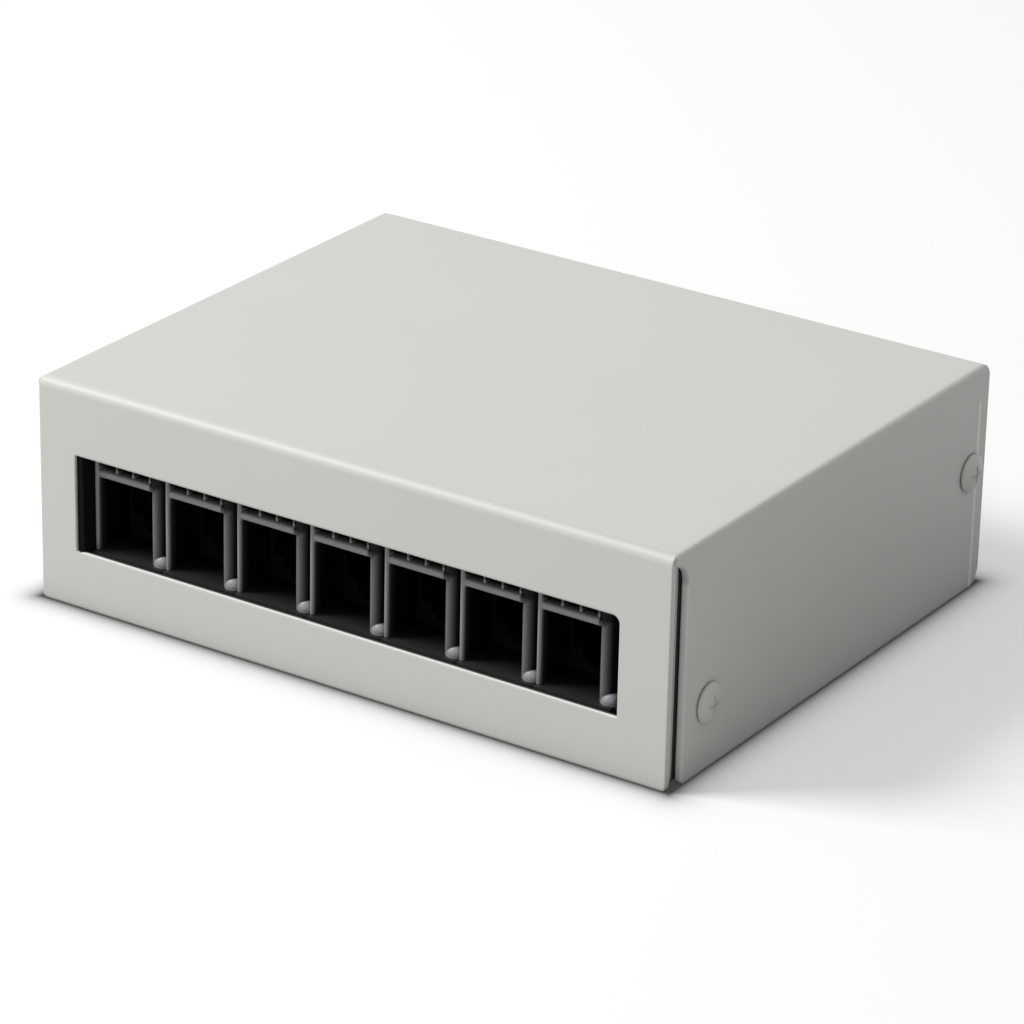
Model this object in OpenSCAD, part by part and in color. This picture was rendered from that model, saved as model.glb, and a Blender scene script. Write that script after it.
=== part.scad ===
// Desk or wall box that distributes a row of network ports, of folded sheet steel.
// Units are millimetres. The origin is the centre of the footprint on the table.
// X runs to the right, Y to the rear and Z up, as seen from the window side.

/* [Cover] */
// Depth of the cover over its front and rear faces
cover_d = 129; // [122:0.5:160]
// Width of the front face left of the window
face_left = 10.4; // [9.4:0.05:30]
// Width of the front face right of the window
face_right = 12.85; // [9.4:0.05:30]
// Room between the port carrier's top edge and the cover
head_room = 6.3; // [3:0.1:20]
// Thickness of the cover's sheet
cover_t = 1.5; // [1:0.1:1.8]
// Outside radius of the cover's folds
fold_r = 2.2; // [2:0.1:4]
// Gap between the table and the cover's lower edge
edge_lift = 0.75; // [0.4:0.05:1.2]
// Distance by which each flap stops short of the face beside it
flap_inset = 0.9; // [0.5:0.1:1.2]
// Distance from the front face to the side flaps' front edges
seam_front = 4.6; // [3:0.1:6]
// Distance from each side face to the rear flap's ends
seam_rear = 2.6; // [2.2:0.1:3.4]
// Radius of the front flap's lower corners and the side flaps' front ones
flap_corner_r = 1; // [0.4:0.1:2]
// Radius of the side flaps' rear lower corners
heel_r = 3.5; // [1:0.1:5]

/* [Window] */
// Width left free at the left end of the port row
window_left = 2.4; // [1:0.1:4]
// Width left free at its right end
window_right = 3; // [1:0.1:4]
// Height of the frames' floor above the window's lower edge
sill_drop = 0.2; // [0:0.05:0.8]
// Radius of the window's corners
window_r = 0.4; // [0.2:0.1:1]
// Radius of the window's upper right corner
window_round_r = 1.8; // [0.4:0.1:3]

/* [Cover screws] */
// Thread diameter of the cover screws
screw_d = 4; // [3:0.5:4]
// Diameter of their heads
head_d = 8.9; // [7:0.1:10]
// Height of their heads
head_h = 1.9; // [1.4:0.1:2.6]
// Length of their shanks beyond the press nuts
shank_out = 1.55; // [0.5:0.05:2]
// Distance of the front pair from the front face
front_screw_y = 13.9; // [13:0.1:16]
// Height of the front pair above the table
front_screw_z = 15.2; // [12:0.1:18]
// Distance of the rear pair from the rear face
rear_screw_y = 7.4; // [7:0.1:12]
// Height of the rear pair above the table
rear_screw_z = 28.6; // [20:0.1:36]
// Thickness of the press nuts
nut_t = 3.2; // [2.4:0.1:3.6]

/* [Base] */
// Thickness of the base's sheet
base_t = 1.5; // [1.2:0.1:1.8]
// Outside radius of the base's folds
base_r = 2; // [2:0.1:3]
// Height of the side rails
rail_h = 10; // [6:0.5:11]
// Height of the rear wall
wall_h = 36; // [33:0.5:42]
// Distance from the rear wall's ends to the base's sides
wall_side = 5.25; // [4:0.05:20]
// Distance from the front face to the side rails and corner uprights
rail_inset = 3.5; // [3:0.1:6]
// Gap between the corner uprights and the cover's top
upright_gap = 1; // [0.6:0.1:4]
// Distance of the screw tabs' edges from the screw's axis
tab_reach = 6; // [5:0.1:7]
// Clearance between the cover and the base
cover_fit = 0.25; // [0.1:0.05:0.4]
// Diameter of the wall-fixing holes
fixing_d = 4.5; // [3.5:0.1:5.5]
// Spacing of the wall-fixing holes across the box
fixing_dx = 120; // [100:1:130]
// Spacing of the wall-fixing holes from front to rear
fixing_dy = 60; // [50:1:66]
// Distance of the rear wall-fixing holes from the rear face
fixing_rear = 14.5; // [10:0.5:20]

/* [Cable entries] */
// Diameter of the holes in the rear wall
entry_d = 20; // [17:0.5:22]
// Distance between the two entries
entry_gap = 64; // [40:1:90]
// Height of the entries above the table
entry_z = 18; // [17:0.5:20]
// Clear diameter through a bush
bush_bore = 15; // [10:0.5:16]
// Width of a bush's lips beyond the hole
bush_lip = 2.5; // [1.5:0.1:3]

/* [Port frames] */
// Distance from the cover's front face to the port frames' fronts
port_recess = 3.3; // [2.8:0.1:5]
// Thickness of a frame's left wall
frame_wall = 1.05; // [0.8:0.05:1.2]
// Width of a frame's right post
post_w = 3.85; // [3.2:0.05:4.4]
// Thickness of a frame's floor and top plate
frame_plate = 1.2; // [0.8:0.1:1.6]
// Height of the bar over the opening
bar_h = 1.85; // [1.2:0.05:2.4]
// Height between that bar and the window's upper edge
comb_h = 3.75; // [3:0.05:5]
// Height of the frames above the window's upper edge
frame_over = 1; // [0.5:0.1:2]
// Depth of a frame in front of its carrier
frame_d = 9.5; // [8:0.1:12]
// Depth of the spigot behind it
spigot_d = 3.5; // [3:0.1:5]
// Thickness of the ribs of the comb over the bar
rib_t = 0.5; // [0.3:0.05:0.8]
// Depth of the comb's cells
comb_d = 4; // [2:0.1:5]
// Radius of the ball at the foot of the post
ball_r = 2.3; // [1.6:0.05:2.8]

/* [Carrier] */
// Thickness of the carrier's sheet
carrier_t = 1.5; // [1:0.1:2]
// Gap between the carrier's ends and the cover screws' tips
end_gap = 1.6; // [1:0.1:4]
// Depth of the carrier's foot
foot_d = 14; // [12:0.5:16]
// Thread diameter of the small screws
small_d = 3; // [2.5:0.5:3]
// Width across flats of the spacers behind the carrier
spacer_af = 5.5; // [5:0.1:6]
// Gap between the carrier's foot and the lower spacers
foot_gap = 1.85; // [1:0.05:6]
// Gap between the lower spacers and the frames' hooks
hook_gap = 1.45; // [0.5:0.05:3]
// Gap between the frames and the screw heads above them
head_gap = 0.9; // [0.4:0.1:3]
// Height of board and carrier beyond the spacers' axes
sheet_edge = 3.6; // [3.2:0.1:4.4]

/* [Jacks] */
// Length of a jack from its face to the board
jack_d = 16; // [15:0.1:18]
// Length of a jack's nose inside the port frame
jack_nose = 2.5; // [1:0.1:3]
// Clearance round the nose
jack_fit = 0.2; // [0.1:0.05:0.4]
// Thickness of a jack's side walls
jack_wall = 0.8; // [0.6:0.05:1.2]
// Thickness of its wall over the plug's cavity
jack_roof = 3.2; // [2.6:0.1:4]
// Thickness of its floor under the latch notch
jack_floor = 1.5; // [0.8:0.1:2]
// Width of the plug's cavity
plug_w = 11.9; // [11.7:0.05:12.1]
// Height of the plug's cavity
plug_h = 8; // [7.6:0.1:8.2]
// Depth of the plug's cavity
plug_d = 12; // [11:0.1:13]
// Distance between neighbouring contact wires
wire_pitch = 1.02; // [1:0.01:1.05]
// Thickness of a contact wire
wire_t = 0.35; // [0.3:0.01:0.4]

/* [Board] */
// Thickness of the circuit board
board_t = 1.6; // [1.2:0.1:2]

/* [Terminal blocks] */
// Gap between neighbouring blocks
block_gap = 1.45; // [0.5:0.05:3]
// Gap between a block and the screw heads above it
block_room = 3.2; // [0.5:0.1:6]
// Depth of a block's body
block_d = 4; // [3:0.1:6]
// Length of the teeth beyond the body
tooth_l = 9; // [7:0.1:11]
// Height of each row of teeth
tooth_h = 7; // [5:0.1:8]
// Width of a slot between two teeth
slot_w = 1.8; // [1.4:0.1:2.2]
// Thickness of the forked blades
blade_t = 0.5; // [0.3:0.05:0.8]

/* [Tie bar] */
// Thickness of the tie bar's sheet
tie_t = 1.2; // [1:0.1:1.6]
// Height of the tie bar above the base
tie_h = 20; // [14:0.5:26]
// Depth of its foot
tie_foot = 12; // [10:0.5:14]
// Distance from the terminal blocks' tips to the tie bar
tie_gap = 34; // [24:0.5:34]

/* [Earth point] */
// Thread diameter of the earth stud
stud_d = 4; // [3:0.5:5]
// Height of the stud above the base
stud_h = 12; // [9:0.5:16]
// Distance of the stud from the right side face
stud_x = 18; // [16:0.5:24]
// Distance of the stud from the rear face
stud_y = 30; // [26:0.5:34]

/* [Hidden] */
$fn = 48;
port_count = 7;
ports = [1 : port_count];
sides = [-1, 1];
over = 1;                  // overrun of a cut past the face it opens
inner_r = 0.5;             // inside radius of the brackets' folds
thread_fit = 0.05;         // gap between a thread and its hole, each side
hole_fit = 0.2;            // gap between a screw and a plain hole, each side
slip_fit = 0.1;            // gap between moulded parts that slide together

// Jack, which sets the size of a port's opening
latch_w = 6.4;
latch_h = 2.4;
catch_w = 3.4;
catch_h = 1.3;
jack_w = plug_w + 2 * jack_wall;
jack_h = jack_floor + catch_h + latch_h + plug_h + jack_roof;
port_w = jack_w + 2 * jack_fit;
port_h = jack_h + 2 * jack_fit;

// Port frame across the row
frame_gap = 0.25;          // gap between neighbouring frames
post_x = frame_wall + port_w;
frame_w = post_x + post_w;
port_pitch = frame_w + frame_gap;
port_mid_x = frame_wall + port_w / 2;
bar_setback = 0.2;         // bar behind the front of the left wall
post_setback = 0.4;
post_edge = 0.9;           // radius of the post's left edge
comb_setback = 0.9;
floor_lip = 1.1;           // floor in front of the left wall
ball_x = 2.1;              // ball's middle beyond the post's left face
ball_rise = 0.4;           // ball's middle above the floor
rib_count = 3;
rib_pitch = (frame_w - frame_wall) / (rib_count + 1);
spigot_wall = 1;
spigot_w = port_w + 2 * spigot_wall;
spigot_h = port_h + 2 * spigot_wall;
hook_h = 0.7;
hook_l = 1.2;
hook_w = 6;

// Small screws, all of one kind
small_head = 5.6;
small_head_h = 2;
small_len = 6;
small_recess = 2.8;

// Heights, from the base up to the cover's top
spacer_low_z = base_t + carrier_t + foot_gap + spacer_af / 2;
spigot_z = spacer_low_z + spacer_af / 2 + hook_gap + hook_h;
floor_z = spigot_z + spigot_wall;
window_z = floor_z - sill_drop;
frame_low = floor_z - frame_plate;
bar_z = floor_z + port_h;
comb_z = bar_z + bar_h;
window_top = comb_z + comb_h;
frame_top = window_top + frame_over;
spacer_top_z = frame_top + head_gap + small_head / 2;
carrier_z = spacer_top_z + sheet_edge;
cover_h = carrier_z + head_room + cover_t;
window_h = window_top - window_z;
board_z = spacer_low_z - sheet_edge;
board_h = carrier_z - board_z;

// Widths, from the port row out to the cover's sides
row_w = port_count * port_pitch;
window_w = window_left + row_w + window_right;
cover_w = face_left + window_w + face_right;
side_x = cover_w / 2;
window_x = face_left - side_x;
row_x = window_x + window_left + row_w / 2;

// Faces of the cover in Y
front_y = -cover_d / 2;
rear_y = cover_d / 2;

// Depths, from the front to the rear
port_y = front_y + port_recess;
carrier_y = port_y + frame_d;
jack_y = carrier_y + spigot_d - jack_nose;
board_y = jack_y + jack_d;
block_y = board_y + board_t;
tip_y = block_y + block_d + tooth_l;
tie_y = tip_y + tie_gap;

// Inside of a jack
jack_z = floor_z + jack_fit;
plug_top = jack_z + jack_h - jack_roof;
plug_z = plug_top - plug_h;
wire_count = 8;
wire_slot = wire_t + 0.2;
wire_z = plug_top + 0.9;
wire_front = 3.6;          // bend of the wires behind the jack's face
wire_arm = 6.8;
wire_angle = 32;
pin_out = 1;
pin_hole = 0.62;
peg_d = 1.6;
peg_z = jack_z + 2.4;

// Base
base_x = side_x - cover_t - cover_fit;
base_front = front_y + cover_t + cover_fit;
base_rear = rear_y - cover_t - cover_fit;
rail_front = front_y + rail_inset;
rail_rear = rear_y - 7;
upright_z = cover_h - cover_t - upright_gap;
tab_r = 2.5;
front_tab_y = front_y + front_screw_y;
rear_tab_y = rear_y - rear_screw_y;
screw_hole = screw_d / 2 + hole_fit;
nut_af = 7;
shank_l = cover_t + cover_fit + base_t + nut_t + shank_out;
fixing_y = rear_y - fixing_rear - fixing_dy / 2;

// Cover screws
head_rim = 0.3;
undercut_w = 0.8;          // groove between the head and the cover's face
undercut_h = 0.3;
recess_w = 0.7;
recess_l = 3.6;
recess_t = 0.4;

// Cable entries
bush_rim = 1.6;            // thickness of a bush's outer lip
bush_back = 1.8;           // thickness of its inner lip
notch_gap = 1;             // gap between the outer lip and the cover
notch_r = entry_d / 2 + bush_lip + notch_gap;

// Carrier's ends, the screws in its foot and the spacers behind it
carrier_x = side_x - shank_l - end_gap;
foot_screw_y = carrier_y + 9.5;
foot_screw_edge = 11.4;    // outer screws' distance from the carrier's ends
foot_screw_x = [for (k = [-3 : 2 : 3]) (carrier_x - foot_screw_edge) * k / 3];
spacer_x = [for (k = [-1 : 1]) row_x + 2.5 * k * port_pitch];
spacer_z = [spacer_low_z, spacer_top_z];
spacer_y = carrier_y + carrier_t;

// Board, blocks and blades
board_side = 2;            // board beyond each end of the port row
block_w = port_pitch - block_gap;
block_z = spacer_low_z + small_head / 2 + hole_fit;
block_h = spacer_top_z - small_head / 2 - block_room - block_z;
slot_count = 4;
slot_pitch = (block_w + slot_w) / (slot_count + 1);
peg_dx = slot_pitch;
tooth_w = slot_pitch - slot_w;
row_edge = 1.5;            // body beyond the rows of teeth
tooth_rows = [block_z + row_edge, block_z + block_h - row_edge - tooth_h];
tip_l = 2;
blade_l = 6.5;
blade_w = slot_w - slip_fit;
blade_slit = 0.4;
tail_w = 0.6;
tail_hole = 0.5;           // radius of the hole for a blade's tail
pocket = 0.4;              // room beyond the ends of pins and pegs

// Tie bar
tie_w = 116;
tie_screw_x = tie_w / 2 - 8;
tie_screw_y = tie_y + (tie_foot + tie_t) / 2;
tie_slot_w = 3;
tie_slot_h = 5;
tie_slot_gap = 4.5;

// Earth point
stud_head_d = 7;
stud_head_h = 0.8;
washer_d = 9;
washer_t = 1;
earth_nut_t = 3.2;
earth_nut_af = 7;

// Left edge of port n, counted from the left
function port_x(n) = row_x - row_w / 2 + (n - 1) * port_pitch + frame_gap / 2;
// Middle of its opening
function port_mid(n) = port_x(n) + port_mid_x;

// Extrudes a section drawn in Y and Z from x0 to x1
module x_prism(x0, x1) {
    translate([x0, 0, 0]) rotate([90, 0, 90]) linear_extrude(x1 - x0) children();
}

// Extrudes a section drawn in X and Z from y0 to y1
module y_prism(y0, y1) {
    translate([0, y1, 0]) rotate([90, 0, 0]) linear_extrude(y1 - y0) children();
}

// Block between two opposite corners
module block(low, high) {
    translate(low) cube(high - low);
}

// Round bar along X, from x0, or along Y, from y0
module x_rod(r, length) {
    rotate([0, 90, 0]) cylinder(r = r, h = length);
}
module y_rod(r, length) {
    rotate([-90, 0, 0]) cylinder(r = r, h = length);
}

// Shape with a flat foot and two rounded upper corners
module round_top(span, height, r) {
    translate([-span / 2, 0]) square([span, height - r]);
    translate([-span / 2 + r, 0]) square([span - 2 * r, height]);
    for (s = sides) translate([s * (span / 2 - r), height - r]) circle(r);
}

// Section of a sheet folded twice: a top between two legs
module pan_section(span, height, t, r) {
    difference() {
        round_top(span, height, r);
        translate([0, -over]) round_top(span - 2 * t, height - t + over, r - t);
    }
}

// Section of a sheet folded once, with the fold's outer corner at the origin
module bent_section(foot, wall, t, r) {
    difference() {
        union() {
            translate([r, 0]) square([foot - r, t]);
            translate([0, r]) square([t, wall - r]);
            intersection() {
                translate([r, r]) circle(r);
                square(r);
            }
        }
        translate([r, r]) circle(r - t);
    }
}

// What is cut from a corner at the origin to round it, seen towards +x and +y
module corner_waste(r) {
    difference() {
        translate([-over, -over]) square(r + over);
        translate([r, r]) circle(r);
    }
}

// What is cut from a flap to open a seam beside it: straight, with a quarter round on top
module seam_waste(width) {
    arc_z = cover_h - fold_r - width;
    translate([-over, 0]) square([width + over, arc_z]);
    translate([-over, arc_z]) intersection() {
        translate([over, 0]) circle(width);
        square([width + over, width]);
    }
}

// Opening of the window, with its own radius at the upper right corner
module window_shape() {
    translate([window_x, window_z]) difference() {
        square([window_w, window_h]);
        corner_waste(window_r);
        translate([0, window_h]) mirror([0, 1]) corner_waste(window_r);
        translate([window_w, 0]) mirror([1, 0]) corner_waste(window_r);
        translate([window_w, window_h]) rotate(180) corner_waste(window_round_r);
    }
}

// Calls its children at each cover screw's axis, pointing inwards from the side face
module at_cover_screws() {
    for (s = sides) {
        for (p = [[front_tab_y, front_screw_z], [rear_tab_y, rear_screw_z]]) {
            translate([s * side_x, p[0], p[1]]) rotate([0, -s * 90, 0]) children();
        }
    }
}

// Block with the cover's outer faces, whose folds meet in mitres at the corners
module cover_envelope() {
    intersection() {
        x_prism(-side_x, side_x) round_top(cover_d, cover_h, fold_r);
        y_prism(front_y, rear_y) round_top(cover_w, cover_h, fold_r);
    }
}

// Folded pan: top, front flap with the window, rear flap and two side flaps
module cover() {
    flap_h = cover_h - edge_lift;
    color("#C7C9C2") difference() {
        intersection() {
            cover_envelope();
            cover_flaps(flap_h);
        }
        y_prism(front_y - over, front_y + cover_t + over) window_shape();
        at_cover_screws() translate([0, 0, -over]) cylinder(r = screw_hole, h = cover_t + 2 * over);
        for (s = sides) translate([s * entry_gap / 2, rear_y - cover_t - over, entry_z]) {
            y_rod(notch_r, cover_t + 2 * over);
            translate([-notch_r, 0, -entry_z]) cube([2 * notch_r, cover_t + 2 * over, entry_z]);
        }
    }
}

// Two pans that cross on top, with the seams that part their flaps at the corners
module cover_flaps(flap_h) {
    difference() {
        x_prism(-side_x + flap_inset, side_x - flap_inset) translate([0, edge_lift])
            pan_section(cover_d, flap_h, cover_t, fold_r);
        y_prism(0, rear_y + over) for (s = [0, 1]) mirror([s, 0])
            translate([-side_x, 0]) seam_waste(seam_rear);
        y_prism(front_y - over, 0) for (s = [0, 1]) mirror([s, 0])
            translate([-side_x + flap_inset, edge_lift]) corner_waste(flap_corner_r);
    }
    difference() {
        y_prism(front_y + flap_inset, rear_y - flap_inset) translate([0, edge_lift])
            pan_section(cover_w, flap_h, cover_t, fold_r);
        x_prism(-side_x - over, side_x + over) {
            translate([front_y, 0]) seam_waste(seam_front);
            translate([front_y + seam_front, edge_lift]) corner_waste(flap_corner_r);
            translate([rear_y - flap_inset, edge_lift]) mirror([1, 0]) corner_waste(heel_r);
        }
    }
}

// Tab of a side rail round a cover screw, from the rail's foot up
module screw_tab(y, z) {
    translate([y, 0]) round_top(2 * tab_reach, z + tab_reach, tab_r);
}

// Tray: floor, side rails with a corner upright in front and a screw tab behind, and the rear
// wall with the cable entries
module base_plate() {
    color("#9A9C98") difference() {
        union() {
            block([-base_x + base_r, base_front, 0], [base_x - base_r, base_rear - base_r, base_t]);
            y_prism(rail_front, rail_rear) translate([0, rail_h]) mirror([0, 1])
                pan_section(2 * base_x, rail_h, base_t, base_r);
            for (s = [0, 1]) mirror([s, 0, 0]) difference() {
                x_prism(base_x - base_t, base_x) {
                    translate([rail_front, 0]) square([front_tab_y + tab_reach - rail_front, upright_z]);
                    screw_tab(min(rear_tab_y, base_rear - tab_reach), rear_screw_z);
                }
                block([0, base_front - rear_y, -over], [side_x, rear_y, rail_h - over]);
            }
            x_prism(wall_side - base_x, base_x - wall_side) translate([base_rear, 0]) mirror([1, 0])
                bent_section(base_r + over, wall_h, base_t, base_r);
        }
        at_cover_screws() cylinder(r = screw_hole, h = cover_t + cover_fit + base_t + over);
        for (s = sides) translate([s * entry_gap / 2, base_rear - base_t - over, entry_z])
            y_rod(entry_d / 2, base_t + 2 * over);
        for (sx = sides) for (sy = sides)
            translate([sx * fixing_dx / 2, fixing_y + sy * fixing_dy / 2, -over])
                cylinder(d = fixing_d, h = base_t + 2 * over);
        for (x = foot_screw_x) translate([x, foot_screw_y, -over])
            cylinder(r = small_d / 2 + thread_fit, h = base_t + 2 * over);
        for (s = sides) translate([s * tie_screw_x, tie_screw_y, -over])
            cylinder(r = small_d / 2 + thread_fit, h = base_t + 2 * over);
        translate([side_x - stud_x, rear_y - stud_y, -over]) {
            cylinder(r = stud_d / 2 + thread_fit, h = base_t + 2 * over);
            cylinder(r = stud_head_d / 2 + thread_fit, h = stud_head_h + over);
        }
    }
}

// Cross recess cut into a head whose top is at z = 0
module cross_recess(length, width, depth) {
    for (a = [0, 90]) rotate(a)
        translate([-length / 2, -width / 2, -depth]) cube([length, width, depth + over]);
}

// Domed pan head standing on z = 0
module domed_head(d, height, rim) {
    dome = height - rim;
    dome_r = (dome * dome + d * d / 4) / (2 * dome);
    rotate_extrude() {
        square([d / 2, rim]);
        translate([0, rim]) intersection() {
            translate([0, dome - dome_r]) circle(dome_r, $fn = 96);
            square([d / 2, height]);
        }
    }
}

// Painted pan-head screws, two in each side of the cover
module cover_screws() {
    color("#C2C4BE") at_cover_screws() {
        cylinder(d = screw_d, h = shank_l);
        rotate([180, 0, 0]) {
            cylinder(r = head_d / 2 - undercut_w, h = undercut_h + head_rim);
            translate([0, 0, undercut_h]) difference() {
                domed_head(head_d, head_h - undercut_h, head_rim);
                translate([0, 0, head_h - undercut_h]) cross_recess(recess_l, recess_w, recess_t);
            }
        }
    }
}

// Hexagonal press nuts behind the base's screw tabs
module cover_nuts() {
    color("#B8BABC") at_cover_screws() translate([0, 0, cover_t + cover_fit + base_t]) difference() {
        cylinder(d = nut_af / cos(30), h = nut_t, $fn = 6);
        translate([0, 0, -over]) cylinder(r = screw_d / 2 + thread_fit, h = nut_t + 2 * over);
    }
}

// Small pan-head screw that points down from its seat at z = 0
module small_screw() {
    translate([0, 0, -small_len]) cylinder(d = small_d, h = small_len);
    difference() {
        domed_head(small_head, small_head_h, small_head_h / 2);
        translate([0, 0, small_head_h]) cross_recess(small_recess, recess_w, small_head_h / 2);
    }
}

// Small screw that is cut off so that it ends inside the base's sheet
module base_screw(seat_z) {
    translate([0, 0, seat_z]) intersection() {
        small_screw();
        translate([-small_head, -small_head, thread_fit - seat_z]) cube(2 * small_head);
    }
}

// Bracket behind the window, with a hole for each port frame's spigot
module port_carrier() {
    color("#A9ABAA") difference() {
        x_prism(-carrier_x, carrier_x) translate([carrier_y, base_t])
            bent_section(foot_d, carrier_z - base_t, carrier_t, carrier_t + inner_r);
        for (n = ports) translate([port_mid(n), 0, 0])
            block([-spigot_w / 2 - slip_fit, carrier_y - over, spigot_z - slip_fit],
                [spigot_w / 2 + slip_fit, carrier_y + carrier_t + over, spigot_z + spigot_h + slip_fit]);
        for (x = spacer_x) for (z = spacer_z)
            translate([x, carrier_y - over, z]) y_rod(small_d / 2 + hole_fit, carrier_t + 2 * over);
        for (x = foot_screw_x) translate([x, foot_screw_y, base_t - over])
            cylinder(r = small_d / 2 + hole_fit, h = carrier_t + 2 * over);
    }
}

// Screws that hold the carrier's foot to the base
module carrier_screws() {
    color("#B8BABC") for (x = foot_screw_x)
        translate([x, foot_screw_y, 0]) base_screw(base_t + carrier_t);
}

// Hexagonal spacers between the carrier and the board
module board_standoffs() {
    length = board_y - spacer_y;
    color("#C9B37A") for (x = spacer_x) for (z = spacer_z)
        translate([x, spacer_y, z]) rotate([-90, 0, 0]) difference() {
            cylinder(d = spacer_af / cos(30), h = length, $fn = 6);
            translate([0, 0, -over]) cylinder(r = small_d / 2 + thread_fit, h = length + 2 * over);
        }
}

// Screws through the carrier into the spacers
module standoff_screws() {
    color("#B8BABC") for (x = spacer_x) for (z = spacer_z)
        translate([x, carrier_y, z]) rotate([90, 0, 0]) small_screw();
}

// Screws through the board into the spacers
module board_screws() {
    color("#B8BABC") for (x = spacer_x) for (z = spacer_z)
        translate([x, block_y, z]) rotate([-90, 0, 0]) small_screw();
}

// Upright board between the jacks and the terminal blocks
module circuit_board() {
    color("#2F6B45") difference() {
        block([row_x - row_w / 2 - board_side, board_y, board_z],
            [row_x + row_w / 2 + board_side, block_y, board_z + board_h]);
        for (x = spacer_x) for (z = spacer_z)
            translate([x, board_y - over, z]) y_rod(small_d / 2 + hole_fit, board_t + 2 * over);
        for (n = ports) translate([port_mid(n), board_y - over, 0]) {
            for (w = [1 : wire_count]) translate([wire_x(w), 0, wire_z]) y_rod(pin_hole / 2, board_t + 2 * over);
            for (s = sides) translate([s * peg_dx, 0, peg_z]) y_rod(peg_d / 2 + slip_fit, board_t + 2 * over);
            for (z = tooth_rows) for (k = [1 : slot_count])
                translate([slot_x(k), 0, z + tooth_h / 2]) y_rod(tail_hole, board_t + 2 * over);
        }
    }
}

// Offset of contact wire w from a jack's middle, and of slot k from a block's middle
function wire_x(w) = (w - (wire_count + 1) / 2) * wire_pitch;
function slot_x(k) = (k - (slot_count + 1) / 2) * slot_pitch;

// Section of a frame's post, seen from above: a small round on the left, a large one on the right
module post_section() {
    fall_r = post_w - post_edge;
    translate([post_x + post_edge, post_setback]) {
        translate([0, post_edge]) circle(post_edge);
        translate([-post_edge, post_edge]) square([post_edge, frame_d - post_setback - post_edge]);
        translate([0, fall_r]) square([fall_r, frame_d - post_setback - fall_r]);
        intersection() {
            translate([0, fall_r]) circle(fall_r);
            square(fall_r + over);
        }
    }
}

// Moulded frame of one port, from the window to the carrier
module port_module(n) {
    wall_r = frame_wall / 2;
    color("#242424") translate([port_x(n), port_y, 0]) difference() {
        union() {
            // Left wall with a round front edge
            translate([wall_r, wall_r, frame_low]) cylinder(r = wall_r, h = frame_top - frame_low);
            block([0, wall_r, frame_low], [frame_wall, frame_d, frame_top]);
            // Floor, top plate and the body round the opening
            block([0, -floor_lip, frame_low], [frame_w, frame_d, floor_z]);
            block([0, comb_setback, frame_top - frame_plate], [frame_w, frame_d, frame_top]);
            block([0, comb_setback + comb_d, bar_z], [frame_w, frame_d, frame_top]);
            // Bar with a round front edge
            translate([wall_r, bar_setback + bar_h / 2, bar_z + bar_h / 2])
                x_rod(bar_h / 2, post_x + post_edge - wall_r);
            block([wall_r, bar_setback + bar_h / 2, bar_z], [frame_w - over, frame_d, comb_z]);
            // Ribs of the comb
            for (k = [1 : rib_count]) translate([frame_wall + k * rib_pitch - rib_t / 2, comb_setback, bar_z])
                cube([rib_t, comb_d + over, frame_top - bar_z]);
            // Post with the ball at its foot
            translate([0, 0, frame_low]) linear_extrude(frame_top - frame_low) post_section();
            intersection() {
                translate([post_x + ball_x, ball_r, floor_z + ball_rise]) sphere(ball_r);
                block([post_x, 0, frame_low], [frame_w, frame_d, frame_top]);
            }
            // Spigot through the carrier, with a hook above and below
            block([port_mid_x - spigot_w / 2, frame_d - over, spigot_z],
                [port_mid_x + spigot_w / 2, frame_d + spigot_d, spigot_z + spigot_h]);
            for (z = [spigot_z - hook_h, spigot_z + spigot_h])
                block([port_mid_x - hook_w / 2, frame_d + carrier_t + slip_fit, z],
                    [port_mid_x + hook_w / 2, frame_d + carrier_t + slip_fit + hook_l, z + hook_h]);
        }
        block([frame_wall, -floor_lip - over, floor_z], [post_x, frame_d + spigot_d + over, bar_z]);
    }
}

// Jack body: plug cavity, stepped latch notch, channels for the wires and two pegs
module jack(n) {
    color("#1B1B1C") translate([port_mid(n), jack_y, 0]) {
        difference() {
            block([-jack_w / 2, 0, jack_z], [jack_w / 2, jack_d, jack_z + jack_h]);
            block([-plug_w / 2, -over, plug_z], [plug_w / 2, plug_d, plug_top]);
            block([-latch_w / 2, -over, plug_z - latch_h], [latch_w / 2, plug_d, plug_z + over]);
            block([-catch_w / 2, -over, plug_z - latch_h - catch_h], [catch_w / 2, plug_d, plug_z]);
            for (w = [1 : wire_count]) translate([wire_x(w), 0, 0])
                block([-wire_slot / 2, wire_front - wire_t, plug_top - over],
                    [wire_slot / 2, jack_d + over, wire_z + wire_t / 2]);
        }
        for (s = sides) translate([s * peg_dx, jack_d, peg_z]) y_rod(peg_d / 2, board_t);
    }
}

// Section of one contact wire: a straight run to the board and an arm sprung into the cavity
module wire_section() {
    translate([wire_front, wire_z - wire_t / 2]) square([jack_d + board_t + pin_out - wire_front, wire_t]);
    translate([wire_front, wire_z]) {
        circle(wire_t / 2, $fn = 24);
        rotate(-wire_angle) translate([0, -wire_t / 2]) square([wire_arm, wire_t]);
        rotate(-wire_angle) translate([wire_arm, 0]) circle(wire_t / 2, $fn = 24);
    }
}

// The eight contact wires of one jack
module jack_contacts(n) {
    color("#D9B44A") translate([port_mid(n), jack_y, 0])
        for (w = [1 : wire_count]) x_prism(wire_x(w) - wire_t / 2, wire_x(w) + wire_t / 2) wire_section();
}

// Tooth of a terminal block: straight sides and a pointed tip, in X and Y
module tooth_section() {
    polygon([
        [-tooth_w / 2, 0], [tooth_w / 2, 0], [tooth_w / 2, tooth_l - tip_l],
        [0, tooth_l], [-tooth_w / 2, tooth_l - tip_l]
    ]);
}

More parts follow.
